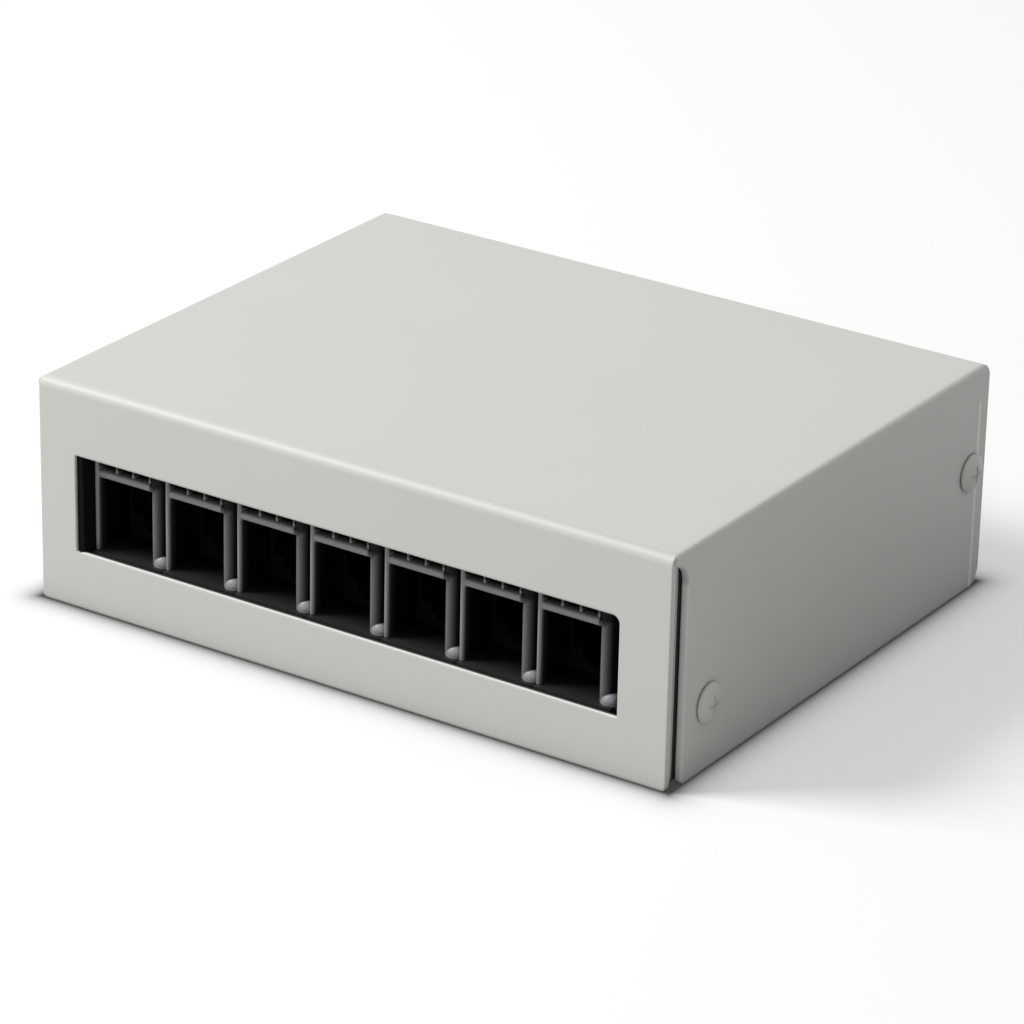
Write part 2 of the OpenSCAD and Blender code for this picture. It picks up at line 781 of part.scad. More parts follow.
// Insulation displacement block: two rows of teeth on a body with a pocket over the jack's pins
module terminal_block(n) {
    color("#ECEBE4") translate([port_mid(n), block_y, 0]) difference() {
        union() {
            block([-block_w / 2, 0, block_z], [block_w / 2, block_d, block_z + block_h]);
            for (z = tooth_rows) for (k = [0 : slot_count])
                translate([slot_x(k) + slot_pitch / 2, block_d, z]) linear_extrude(tooth_h) tooth_section();
        }
        block([wire_x(1) - wire_pitch, -over, wire_z - wire_pitch],
            [wire_x(wire_count) + wire_pitch, pin_out + pocket, wire_z + wire_pitch]);
        for (s = sides) translate([s * peg_dx, -over, peg_z]) y_rod(peg_d / 2 + slip_fit, over + pocket);
        for (z = tooth_rows) for (k = [1 : slot_count])
            translate([slot_x(k), -over, z + tooth_h / 2]) y_rod(tail_hole, block_d + 2 * over);
    }
}

// Forked blade in X and Y: two tines over a shoulder, with a tail through block and board
module blade_section() {
    difference() {
        translate([-blade_w / 2, block_d]) square([blade_w, blade_l]);
        translate([-blade_slit / 2, block_d + blade_l / 4]) square([blade_slit, blade_l]);
    }
    translate([-tail_w / 2, -board_t]) square([tail_w, block_d + board_t + over]);
}

// The eight blades of one terminal block
module blade_set(n) {
    color("#C8C9CB") translate([port_mid(n), block_y, 0])
        for (z = tooth_rows) for (k = [1 : slot_count])
            translate([slot_x(k), 0, z + tooth_h / 2 - blade_t / 2]) linear_extrude(blade_t) blade_section();
}

// Bar to which the incoming cables are tied, with a pair of slots for each port
module tie_bar() {
    color("#A9ABAA") difference() {
        x_prism(-tie_w / 2, tie_w / 2) translate([tie_y, base_t]) bent_section(tie_foot, tie_h, tie_t, tie_t + inner_r);
        for (n = ports) for (s = sides)
            translate([(n - (port_count + 1) / 2) * (tie_w / port_count) + s * tie_slot_gap, 0, 0])
                block([-tie_slot_w / 2, tie_y - over, base_t + tie_h - 2 * tie_slot_h],
                    [tie_slot_w / 2, tie_y + tie_t + over, base_t + tie_h - tie_slot_h]);
        for (s = sides) translate([s * tie_screw_x, tie_screw_y, 0])
            cylinder(r = small_d / 2 + hole_fit, h = base_t + tie_t + over);
    }
}

// Screws of the tie bar
module tie_bar_screws() {
    color("#B8BABC") for (s = sides)
        translate([s * tie_screw_x, tie_screw_y, 0]) base_screw(base_t + tie_t);
}

// Rubber bush that clips into the rear wall, drawn about the Z axis from its inner lip
module bush() {
    groove_r = entry_d / 2 - thread_fit;
    lip_r = entry_d / 2 + bush_lip;
    color("#2A2A2A") rotate_extrude() difference() {
        union() {
            square([lip_r, bush_back]);
            square([groove_r, bush_back + base_t + bush_rim]);
            translate([0, bush_back + base_t]) square([lip_r, bush_rim]);
        }
        translate([-over, -over]) square([bush_bore / 2 + over, bush_back + base_t + bush_rim + 2 * over]);
    }
}

// Bush of the entry on side s
module entry_grommet(s) {
    translate([s * entry_gap / 2, base_rear - base_t - bush_back, entry_z]) rotate([-90, 0, 0]) bush();
}

// Earth stud, clinched into the base from below
module earth_stud() {
    color("#C9B37A") translate([side_x - stud_x, rear_y - stud_y, 0]) {
        cylinder(d = stud_head_d, h = stud_head_h);
        cylinder(d = stud_d, h = base_t + stud_h);
    }
}

// Plain washer on the earth stud
module earth_washer() {
    color("#B8BABC") translate([side_x - stud_x, rear_y - stud_y, base_t]) difference() {
        cylinder(d = washer_d, h = washer_t);
        translate([0, 0, -over]) cylinder(r = stud_d / 2 + hole_fit, h = washer_t + 2 * over);
    }
}

// Nut on the earth stud
module earth_nut() {
    color("#C9B37A") translate([side_x - stud_x, rear_y - stud_y, base_t + washer_t]) difference() {
        cylinder(d = earth_nut_af / cos(30), h = earth_nut_t, $fn = 6);
        translate([0, 0, -over]) cylinder(r = stud_d / 2 + thread_fit, h = earth_nut_t + 2 * over);
    }
}

cover();
base_plate();
cover_screws();
cover_nuts();
port_carrier();
carrier_screws();
board_standoffs();
standoff_screws();
circuit_board();
board_screws();
tie_bar();
tie_bar_screws();
entry_grommet(-1);  // entry_grommet_left
entry_grommet(1);  // entry_grommet_right
earth_stud();
earth_washer();
earth_nut();
for (n = ports) {
    port_module(n);
    jack(n);
    jack_contacts(n);
    terminal_block(n);
    blade_set(n);
}
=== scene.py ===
"""Finish and studio for a small folded-steel box with a row of network ports."""

import math

import bmesh
import bpy
from mathutils import Matrix, Vector


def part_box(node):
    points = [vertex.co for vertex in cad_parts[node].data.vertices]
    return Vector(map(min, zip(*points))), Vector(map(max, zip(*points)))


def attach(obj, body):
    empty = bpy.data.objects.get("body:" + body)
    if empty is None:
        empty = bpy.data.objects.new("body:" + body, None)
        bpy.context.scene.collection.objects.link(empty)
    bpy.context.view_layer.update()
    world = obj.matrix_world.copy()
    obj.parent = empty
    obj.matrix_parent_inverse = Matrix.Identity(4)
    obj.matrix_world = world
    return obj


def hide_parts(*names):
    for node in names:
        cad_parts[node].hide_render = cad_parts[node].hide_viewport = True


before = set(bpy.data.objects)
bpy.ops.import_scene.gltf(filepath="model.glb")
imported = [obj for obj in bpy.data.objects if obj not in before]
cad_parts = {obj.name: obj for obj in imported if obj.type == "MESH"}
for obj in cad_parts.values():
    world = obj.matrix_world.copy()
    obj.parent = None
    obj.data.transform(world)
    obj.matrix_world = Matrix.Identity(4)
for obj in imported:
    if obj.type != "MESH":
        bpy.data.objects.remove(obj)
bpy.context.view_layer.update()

bl_info = {
    "name": "Port box",
    "version": (1, 0, 0),
    "blender": (4, 5, 0),
    "location": "3D View > Sidebar > Port box",
    "description": "Paint, mouldings, metals and studio of a network distribution box",
    "category": "Object",
}

MM = 0.001
BODY = "root"
PORTS = range(1, 8)
COVER_LOW, COVER_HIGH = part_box("cover")
COVER_WIDTH = COVER_HIGH.x - COVER_LOW.x


def linear(hex_colour):
    """An sRGB colour such as "#C8CAC3" as linear red, green and blue."""
    parts = [int(hex_colour[i:i + 2], 16) / 255 for i in (1, 3, 5)]
    return tuple(c / 12.92 if c <= 0.04045 else ((c + 0.055) / 1.055) ** 2.4 for c in parts)


def colour_prop(name, description, hex_colour):
    return bpy.props.FloatVectorProperty(
        name=name, description=description, subtype="COLOR", size=3, min=0, max=1,
        default=linear(hex_colour))


def length_prop(name, description, millimetres):
    return bpy.props.FloatProperty(
        name=name, description=description, unit="LENGTH", default=millimetres * MM, min=0)


class BoxPaint(bpy.types.PropertyGroup):
    """Powder coat of the cover and its screws."""
    colour: colour_prop("Coat", "Colour of the light grey coat", "#CDCFC9")
    shade: colour_prop("Coat shade", "Colour of its slightly darker patches", "#CACCC6")
    # Painted highlight: a pale strip on the side flaps' ends beside the seams.
    painted_seam_highlight: colour_prop("Coat at the seams", "Colour where the coat builds up at the seams", "#E6E8E2")
    # Painted highlight and painted shade on the window's ledge: pale at its front, dark on its inner half.
    painted_ledge_highlight: colour_prop("Coat on the ledge", "Colour on the worn lower edge of the window", "#FAFAF6")
    painted_ledge_shade: colour_prop("Shaded coat", "Colour of the ledge's inner half", "#484846")
    grain: length_prop("Grain", "Width of one bead of the coat's fine texture", 0.5)
    grain_depth: length_prop("Grain depth", "Height of the beads", 0.004)
    edge_radius: length_prop("Edge radius", "Build-up of the coat round cut edges", 0.22)
    foot_gap: length_prop("Foot gap", "Height of the flaps' lower edges over the table", 0.2)
    window_radius: length_prop("Window radius", "Radius of the window's outer edges", 0.7)


class BoxMouldings(bpy.types.PropertyGroup):
    """Black mouldings behind the window."""
    frame_colour: colour_prop("Frame", "Colour of the port frames behind their fronts", "#2A2A2C")
    # Painted light and painted shade on the frames: paler fronts, bars and balls, near-black deep inside.
    painted_light_colour: colour_prop("Frame front", "Paler colour of their polished fronts", "#88888A")
    painted_shade_colour: colour_prop("Frame inside", "Colour deep inside the openings", "#070707")
    # Filler and jacks are black mouldings; their near-black colour, darker than the frames' plastic, adds painted
    # shade.
    filler_colour: colour_prop("Filler", "Colour of the filler at the row's end", "#060606")
    jack_colour: colour_prop("Jack", "Colour of the jack bodies", "#060606")
    rubber_colour: colour_prop("Bush", "Colour of the rubber bushes", "#242424")
    grain: length_prop("Grain", "Width of the mould's spark texture", 0.15)
    edge_radius: length_prop("Edge radius", "Radius of the moulded edges", 0.18)


class BoxStudio(bpy.types.PropertyGroup):
    """Lamp, table and surroundings."""
    key_power: bpy.props.FloatProperty(
        name="Key", description="Power of the large lamp at the front left", default=39, min=0)
    ambient: bpy.props.FloatProperty(
        name="Ambient", description="Strength of the light from all round", default=0.38, min=0)
    mirrored: bpy.props.FloatProperty(
        name="Mirrored", description="Brightness of the surroundings in reflections", default=1.2, min=0)
    bounce: bpy.props.FloatProperty(
        name="Bounce", description="Share of the light the table throws back at the box", default=0.7, min=0, max=1)


def add(tree, kind, links=(), **settings):
    """Adds a node, sets its sockets and options, and links other nodes' outputs to its inputs."""
    node = tree.nodes.new(kind)
    for name, value in settings.items():
        socket = node.inputs.get(name.replace("_", " "))
        if socket is None:
            setattr(node, name, value)
        else:
            socket.default_value = value
    for socket, source in dict(links).items():
        tree.links.new(source, node.inputs[socket])
    return node


def new_material(name):
    material = bpy.data.materials.new(name)
    material.use_nodes = True
    tree = material.node_tree
    shader = tree.nodes["Principled BSDF"]
    place = add(tree, "ShaderNodeTexCoord").outputs["Object"]
    return material, tree, shader, place


def rgba(colour):
    return (*colour, 1.0)


def powder_coat(paint):
    """Polyester powder coat, sprayed and baked: even and satin, with a fine orange-peel skin. Pale painted highlights
    lie on the side flaps' ends by the seams and on the front of the window's ledge, with painted shade on the ledge's
    inner half.
    """
    material, tree, shader, place = new_material("powder_coat_light_grey")
    patches = add(tree, "ShaderNodeTexNoise", {"Vector": place}, Scale=1 / (45 * MM), Detail=2.0)
    tint = add(tree, "ShaderNodeMix", {0: patches.outputs["Fac"]}, data_type="RGBA")
    tint.inputs[6].default_value = rgba(paint.colour)
    tint.inputs[7].default_value = rgba(paint.shade)
    axes = add(tree, "ShaderNodeVectorMath", {0: place}, operation="ABSOLUTE").outputs[0]
    axes = add(tree, "ShaderNodeSeparateXYZ", {"Vector": axes}).outputs
    # Painted highlight on the side flaps where their front ends meet the seams; the same strip is painted as far from
    # the rear face, from 7 mm under the top downwards.
    at_seam = product(tree, step(tree, axes["X"], COVER_HIGH.x - 1.8 * MM, COVER_HIGH.x - 1.6 * MM),
                      step(tree, axes["Y"], COVER_HIGH.y - 5.1 * MM, COVER_HIGH.y - 4.7 * MM))
    below = product(tree, step(tree, axes["Y"], COVER_HIGH.y - 3.8 * MM, COVER_HIGH.y - 4 * MM),
                    step(tree, axes["Z"], COVER_HIGH.z - 7 * MM, COVER_HIGH.z - 8 * MM))
    at_seam = product(tree, at_seam, below)
    coat = blend(tree, at_seam, tint.outputs[2], paint.painted_seam_highlight)
    # Painted highlight on the front of the window's ledge and painted shade behind it, on its upward faces only.
    ledge = add(tree, "ShaderNodeMath", {0: axes["Z"]}, operation="COMPARE")
    ledge.inputs[1].default_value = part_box("port_module_1")[0].z + 1.5 * MM
    ledge.inputs[2].default_value = 0.1 * MM
    at_front = step(tree, axes["Y"], COVER_HIGH.y - 1.6 * MM, COVER_HIGH.y - 1.5 * MM)
    highlit = step(tree, axes["Y"], COVER_HIGH.y - 0.95 * MM, COVER_HIGH.y - 0.75 * MM)
    highlit = blend(tree, highlit, paint.painted_ledge_shade, paint.painted_ledge_highlight)
    facing = add(tree, "ShaderNodeNewGeometry").outputs["Normal"]
    facing = add(tree, "ShaderNodeSeparateXYZ", {"Vector": facing}).outputs
    ledge = product(tree, ledge.outputs[0], step(tree, facing["Z"], 0.4, 0.6))
    coat = blend(tree, product(tree, ledge, at_front), coat, highlit)
    tree.links.new(coat, shader.inputs["Base Color"])
    beads = add(tree, "ShaderNodeTexNoise", {"Vector": place}, Scale=1 / paint.grain, Detail=1.0)
    gloss = add(tree, "ShaderNodeMapRange", {"Value": beads.outputs["Fac"]}, To_Min=0.44, To_Max=0.5)
    tree.links.new(gloss.outputs["Result"], shader.inputs["Roughness"])
    shader.inputs["Specular IOR Level"].default_value = 0.42
    rounding = add(tree, "ShaderNodeBevel", Radius=paint.window_radius, samples=4)
    skin = add(tree, "ShaderNodeBump", {"Height": beads.outputs["Fac"], "Normal": rounding.outputs[0]},
               Strength=0.35, Distance=paint.grain_depth)
    tree.links.new(skin.outputs["Normal"], shader.inputs["Normal"])
    return material


def moulded_plastic(name, colour, grain, low, high, depth, specular=0.5):
    """Injection-moulded ABS with a fine spark-eroded skin that breaks its highlights up."""
    material, tree, shader, place = new_material(name)
    shader.inputs["Base Color"].default_value = rgba(colour)
    shader.inputs["Specular IOR Level"].default_value = specular
    speckle = add(tree, "ShaderNodeTexNoise", {"Vector": place}, Scale=1 / grain, Detail=2.0)
    gloss = add(tree, "ShaderNodeMapRange", {"Value": speckle.outputs["Fac"]}, To_Min=low, To_Max=high)
    tree.links.new(gloss.outputs["Result"], shader.inputs["Roughness"])
    skin = add(tree, "ShaderNodeBump", {"Height": speckle.outputs["Fac"]}, Strength=0.3, Distance=depth)
    tree.links.new(skin.outputs["Normal"], shader.inputs["Normal"])
    return material


def step(tree, value, start, end, first=0.0, last=1.0):
    """Value as a ramp from first at start to last at end."""
    return add(tree, "ShaderNodeMapRange", {"Value": value}, From_Min=start, From_Max=end, To_Min=first,
               To_Max=last).outputs["Result"]


def blend(tree, share, first, second):
    """Mixes two colours, each a colour or a node's output."""
    mix = add(tree, "ShaderNodeMix", {0: share}, data_type="RGBA")
    for number, colour in ((6, first), (7, second)):
        if isinstance(colour, bpy.types.NodeSocket):
            tree.links.new(colour, mix.inputs[number])
        else:
            mix.inputs[number].default_value = rgba(colour)
    return mix.outputs[2]


def product(tree, first, second):
    return add(tree, "ShaderNodeMath", {0: first, 1: second}, operation="MULTIPLY").outputs[0]


def frame_plastic(plastic, size, front, floor, bar, ball):
    """Black ABS of the port frames, spark-eroded, with painted light and painted shade: paler at the fronts, on the
    bars and on the balls, near-black deep inside, on the floors further back and on the posts' right sides and upper
    parts; its specular level is higher at the fronts and on the balls and lower inside.

    All places are measured from the low corner of one frame, whose size is given."""
    material = moulded_plastic("abs_moulded_black", plastic.frame_colour, plastic.grain, 0.36, 0.46, 0.003 * MM)
    tree = material.node_tree
    shader = tree.nodes["Principled BSDF"]
    place = add(tree, "ShaderNodeTexCoord").outputs["Generated"]
    place = add(tree, "ShaderNodeVectorMath", {0: place}, operation="MULTIPLY")
    place.inputs[1].default_value = size
    place = place.outputs[0]
    axes = add(tree, "ShaderNodeSeparateXYZ", {"Vector": place}).outputs
    post = step(tree, axes["X"], size.x - 4.3 * MM, size.x - 3.9 * MM)
    over_bar = step(tree, axes["Z"], bar - 0.2 * MM, bar - 0.1 * MM)
    under_comb = step(tree, axes["Z"], bar + 2.6 * MM, bar + 2.2 * MM)
    at_bar = product(tree, step(tree, post, 1, 0), product(tree, over_bar, under_comb))
    # The bar and the comb above it count as 1.6 mm less deep, so the painted light reaches further back there.
    allowance = step(tree, at_bar, 0, 1, 0, -1.6 * MM)
    depth = add(tree, "ShaderNodeMath", {0: axes["Y"], 1: allowance}, operation="ADD").outputs[0]
    # Painted light at the fronts, fading to the frame's own colour and then to painted shade deeper in.
    wall = blend(tree, step(tree, depth, front, front + 1.1 * MM), plastic.painted_light_colour, plastic.frame_colour)
    wall = blend(tree, step(tree, depth, front + 0.9 * MM, front + 3 * MM), wall, plastic.painted_shade_colour)
    # Painted shade on each post, darker towards its right side and on its upper part from the bar up.
    turned = product(tree, post, step(tree, axes["X"], size.x - 3.75 * MM, size.x - 1 * MM, 0, 1))
    top = step(tree, axes["Z"], bar - 1 * MM, bar + 1.6 * MM)
    dark = add(tree, "ShaderNodeMath", {0: turned, 1: product(tree, post, top)}, operation="MAXIMUM").outputs[0]
    wall = blend(tree, step(tree, dark, 0, 1, 0, 0.9), wall, plastic.painted_shade_colour)
    # Painted shade on the floors, darker towards the back.
    sill = blend(tree, step(tree, axes["Y"], front, front + 8 * MM), plastic.frame_colour, plastic.painted_shade_colour)
    tint = blend(tree, step(tree, axes["Z"], floor + 0.15 * MM, floor + 0.05 * MM), wall, sill)
    # Painted highlight on the ball at each post's foot.
    away = add(tree, "ShaderNodeVectorMath", {0: place}, operation="DISTANCE")
    away.inputs[1].default_value = ball
    at_ball = step(tree, away.outputs["Value"], 2.45 * MM, 2.35 * MM)
    tint = blend(tree, at_ball, tint, plastic.painted_light_colour)
    tree.links.new(tint, shader.inputs["Base Color"])
    # Specular level: higher at the fronts and on the balls, lower deep inside and on the shaded parts of the posts.
    shine = product(tree, step(tree, depth, front + 0.9 * MM, front + 3 * MM, 0.5, 0.1),
                    step(tree, dark, 0, 1, 1, 0.1))
    shine = add(tree, "ShaderNodeMath", {0: shine, 1: step(tree, at_ball, 0, 1, 0, 0.9)}, operation="MAXIMUM")
    tree.links.new(shine.outputs[0], shader.inputs["Specular IOR Level"])
    return material


def plated_metal(name, light, dark, scale, low, high, metallic=1.0):
    """Plated or turned metal: a metallic coat with faint cloudy tarnish."""
    material, tree, shader, place = new_material(name)
    shader.inputs["Metallic"].default_value = metallic
    clouds = add(tree, "ShaderNodeTexNoise", {"Vector": place}, Scale=1 / scale, Detail=4.0)
    tint = add(tree, "ShaderNodeMix", {0: clouds.outputs["Fac"]}, data_type="RGBA")
    tint.inputs[6].default_value = rgba(linear(light))
    tint.inputs[7].default_value = rgba(linear(dark))
    tree.links.new(tint.outputs[2], shader.inputs["Base Color"])
    gloss = add(tree, "ShaderNodeMapRange", {"Value": clouds.outputs["Fac"]}, To_Min=low, To_Max=high)
    tree.links.new(gloss.outputs["Result"], shader.inputs["Roughness"])
    return material


def zinc_base():
    """Dull zinc plating of the base; near the seams it is not metallic and has a pale painted highlight on the
    uprights' ends and near-black painted shade on their sides in the gap.
    """
    material = plated_metal("zinc_plated_base", "#9EA09F", "#909291", 12 * MM, 0.5, 0.6, 0.5)
    tree = material.node_tree
    shader = tree.nodes["Principled BSDF"]
    plain = shader.inputs["Base Color"].links[0].from_socket
    facing = add(tree, "ShaderNodeNewGeometry").outputs["Normal"]
    facing = add(tree, "ShaderNodeVectorMath", {0: facing}, operation="ABSOLUTE").outputs[0]
    facing = add(tree, "ShaderNodeSeparateXYZ", {"Vector": facing}).outputs
    place = add(tree, "ShaderNodeTexCoord").outputs["Object"]
    place = add(tree, "ShaderNodeVectorMath", {0: place}, operation="ABSOLUTE").outputs[0]
    place = add(tree, "ShaderNodeSeparateXYZ", {"Vector": place}).outputs
    # Near the seams: pale painted highlight on the uprights' ends, near-black painted shade on their sides, and
    # metallic 0.
    at_seam = product(tree, step(tree, place["X"], COVER_HIGH.x - 3.4 * MM, COVER_HIGH.x - 3.3 * MM),
                      step(tree, place["Y"], COVER_HIGH.y - 8 * MM, COVER_HIGH.y - 6 * MM))
    tint = blend(tree, product(tree, at_seam, facing["Y"]), plain, linear("#F0F0EC"))
    tint = blend(tree, product(tree, at_seam, facing["X"]), tint, linear("#0C0C0C"))
    tree.links.new(tint, shader.inputs["Base Color"])
    metallic = step(tree, at_seam, 0, 1, 0.5, 0)
    tree.links.new(metallic, shader.inputs["Metallic"])
    return material


def solder_mask():
    """Glass-epoxy board under green solder mask: the weave of the cloth shows faintly through."""
    material, tree, shader, place = new_material("solder_mask_green")
    thread = 0.4 * MM
    across = add(tree, "ShaderNodeTexWave", {"Vector": place}, Scale=1 / thread / 6, bands_direction="X")
    up = add(tree, "ShaderNodeTexWave", {"Vector": place}, Scale=1 / thread / 6, bands_direction="Z")
    weave = add(tree, "ShaderNodeMath", {0: across.outputs["Fac"], 1: up.outputs["Fac"]}, operation="MULTIPLY")
    tint = add(tree, "ShaderNodeMix", {0: weave.outputs[0]}, data_type="RGBA")
    tint.inputs[6].default_value = rgba(linear("#1C5A38"))
    tint.inputs[7].default_value = rgba(linear("#256B45"))
    tree.links.new(tint.outputs[2], shader.inputs["Base Color"])
    shader.inputs["Roughness"].default_value = 0.3
    return material


def take_node(name):
    """The CAD node's shape as a new mesh of flat faces, with the triangles of each face joined."""
    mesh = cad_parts[name].data.copy()
    mesh.materials.clear()
    work = bmesh.new()
    work.from_mesh(mesh)
    bmesh.ops.remove_doubles(work, verts=work.verts, dist=1e-6)
    bmesh.ops.dissolve_limit(work, angle_limit=math.radians(0.3), verts=work.verts, edges=work.edges)
    work.to_mesh(mesh)
    work.free()
    return mesh


def sharp_edges(mesh, angle):
    """Numbers of the edges that fold by more than angle."""
    work = bmesh.new()
    work.from_mesh(mesh)
    found = [e.index for e in work.edges if len(e.link_faces) == 2 and e.calc_face_angle() > angle]
    work.free()
    return found


def make_piece(name, node, mesh, material):
    """Puts a mesh in the scene in place of its CAD node."""
    piece = bpy.data.objects.new(name, mesh)
    bpy.context.scene.collection.objects.link(piece)
    mesh.materials.append(material)
    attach(piece, BODY)
    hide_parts(node)
    return piece


def round_edges(piece, width, weigh=lambda point: 1.0, angle=35, segments=3, clamp=True):
    """Rounds the edges that fold by more than angle, each by width times what weigh gives for it."""
    mesh = piece.data
    layer = mesh.attributes.new("bevel_weight_edge", "FLOAT", "EDGE")
    mesh.shade_smooth()
    for i in sharp_edges(mesh, math.radians(angle)):
        a, b = (mesh.vertices[v].co for v in mesh.edges[i].vertices)
        layer.data[i].value = weigh((a + b) / 2)
    bevel = piece.modifiers.new("rounded_edges", "BEVEL")
    bevel.width = width
    bevel.segments = segments
    bevel.limit_method = "WEIGHT"
    bevel.use_clamp_overlap = clamp
    flats = piece.modifiers.new("flat_faces", "WEIGHTED_NORMAL")
    flats.weight = 100


def even_flats(mesh):
    """Gives level and upright faces one normal each, and lets the rounded strips start from it."""
    flat = {f.index for f in mesh.polygons if max(abs(c) for c in f.normal) > 0.99999 and f.area > MM * MM}
    largest = {}
    for face in mesh.polygons:
        for v in face.vertices:
            if face.index in flat and face.area > largest.get(v, (0, None))[0]:
                largest[v] = (face.area, face.normal.copy())
    rounded = [vertex.normal.copy() for vertex in mesh.vertices]
    normals = []
    for face in mesh.polygons:
        own = face.normal.copy()
        normals += [own if face.index in flat else largest.get(v, (0, rounded[v]))[1] for v in face.vertices]
    mesh.normals_split_custom_set(normals)


def paint_node(name, material):
    """Gives a CAD node that stays in view its material."""
    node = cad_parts[name]
    node.data.materials.clear()
    node.data.materials.append(material)


def cached(name, make):
    """The material of that name, made on its first use."""
    return bpy.data.materials.get(name) or make()


class PORTBOX_OT_cover(bpy.types.Operator):
    """Folded cover with its coated edges and its four painted screws"""
    bl_idname = "portbox.cover"
    bl_label = "Cover"

    def execute(self, context):
        paint = context.scene.box_paint
        coat = cached("powder_coat_light_grey", lambda: powder_coat(paint))
        cover = make_piece("cover_shell", "cover", take_node("cover"), coat)
        round_edges(cover, paint.edge_radius)
        cover.data = bpy.data.meshes.new_from_object(cover.evaluated_get(context.evaluated_depsgraph_get()))
        cover.modifiers.clear()
        even_flats(cover.data)
        for vertex in cover.data.vertices:
            if vertex.co.z < COVER_LOW.z + paint.window_radius:
                vertex.co.z += paint.foot_gap - COVER_LOW.z
        screws = make_piece("cover_screw_heads", "cover_screws", take_node("cover_screws"), coat)
        round_edges(screws, 0.15 * MM)
        return {"FINISHED"}


class PORTBOX_OT_sheet_parts(bpy.types.Operator):
    """Base, port carrier and tie bar of plated sheet"""
    bl_idname = "portbox.sheet_parts"
    bl_label = "Base and brackets"

    def execute(self, context):
        zinc = cached("zinc_plated_sheet",
                      lambda: plated_metal("zinc_plated_sheet", "#8E9192", "#7E8182", 12 * MM, 0.46, 0.56))
        for name in ("port_carrier", "tie_bar"):
            paint_node(name, zinc)
        paint_node("base_plate", cached("zinc_plated_base", zinc_base))
        return {"FINISHED"}


class PORTBOX_OT_port_frames(bpy.types.Operator):
    """Seven moulded frames behind the window"""
    bl_idname = "portbox.port_frames"
    bl_label = "Port frames"

    def execute(self, context):
        plastic = context.scene.box_mouldings
        low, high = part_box("port_module_1")
        front, floor = 1.1 * MM, 1.7 * MM
        ball = Vector((high.x - low.x - 1.75 * MM, front + 2.3 * MM, floor + 0.4 * MM))
        black = cached("abs_moulded_black", lambda: frame_plastic(
            plastic, high - low, front, floor, floor + 16.8 * MM, ball))
        for n in PORTS:
            name = f"port_module_{n}"
            piece = make_piece(f"port_frame_{n}", name, take_node(name), black)
            round_edges(piece, plastic.edge_radius, segments=2)
        return {"FINISHED"}


class PORTBOX_OT_row_end(bpy.types.Operator):
    """Black moulded filler in the window's margin left of the port row"""
    bl_idname = "portbox.row_end"
    bl_label = "Row end filler"

    def execute(self, context):
        plastic = context.scene.box_mouldings
        # Near-black: the black moulding with painted shade added.
        dull = cached("abs_filler_black", lambda: moulded_plastic(
            "abs_filler_black", plastic.filler_colour, plastic.grain, 0.6, 0.7, 0.003 * MM, 0.1))
        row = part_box("port_module_1")[0]
        low = Vector((row.x - 2.48 * MM, COVER_LOW.y + 0.5 * MM, row.z + 1.55 * MM))
        high = Vector((row.x, COVER_LOW.y + 8.5 * MM, row.z + 24.05 * MM))
        wall, lip = 0.9 * MM, 3.3 * MM
        outline = ((low.x, low.y), (high.x - wall, low.y), (high.x, low.y + lip), (high.x, high.y),
                   (high.x - wall, high.y), (high.x - wall, low.y + lip + wall), (low.x + wall, low.y + wall),
                   (low.x + wall, low.y + lip), (low.x, low.y + lip))
        mesh = bpy.data.meshes.new("row_end_filler")
        work = bmesh.new()
        side = work.faces.new([work.verts.new((x, y, low.z)) for x, y in outline])
        grown = bmesh.ops.extrude_face_region(work, geom=[side])["geom"]
        bmesh.ops.translate(work, vec=(0, 0, high.z - low.z), verts=[v for v in grown if isinstance(v, bmesh.types.BMVert)])
        bmesh.ops.recalc_face_normals(work, faces=work.faces)
        work.to_mesh(mesh)
        work.free()
        filler = bpy.data.objects.new("row_end_filler", mesh)
        context.scene.collection.objects.link(filler)
        mesh.materials.append(dull)
        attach(filler, BODY)
        round_edges(filler, 0.15 * MM)
        return {"FINISHED"}


class PORTBOX_OT_jacks(bpy.types.Operator):
    """Jack bodies and their contact wires"""
    bl_idname = "portbox.jacks"
    bl_label = "Jacks"

    def execute(self, context):
        plastic = context.scene.box_mouldings
        # Near-black: the black jack plastic with painted shade added.
        black = cached("pbt_jack_black", lambda: moulded_plastic(
            "pbt_jack_black", plastic.jack_colour, plastic.grain, 0.6, 0.75, 0.003 * MM, 0.1))
        gold = cached("gold_plated_wire",
                      lambda: plated_metal("gold_plated_wire", "#E3BE5C", "#CDA443", 3 * MM, 0.22, 0.3))
        for n in PORTS:
            paint_node(f"jack_{n}", black)
            paint_node(f"jack_contacts_{n}", gold)
        return {"FINISHED"}


class PORTBOX_OT_board(bpy.types.Operator):
    """Circuit board, terminal blocks and blades"""
    bl_idname = "portbox.board"
    bl_label = "Board"

    def execute(self, context):
        paint_node("circuit_board", cached("solder_mask_green", solder_mask))
        white = cached("nylon_moulded_white", lambda: moulded_plastic(
            "nylon_moulded_white", linear("#E9E8E1"), 0.2 * MM, 0.42, 0.55, 0.004 * MM))
        tin = cached("tin_plated_blade",
                     lambda: plated_metal("tin_plated_blade", "#D5D7D9", "#C2C4C6", 3 * MM, 0.28, 0.4))
        for n in PORTS:
            paint_node(f"terminal_block_{n}", white)
            paint_node(f"blade_set_{n}", tin)
        return {"FINISHED"}


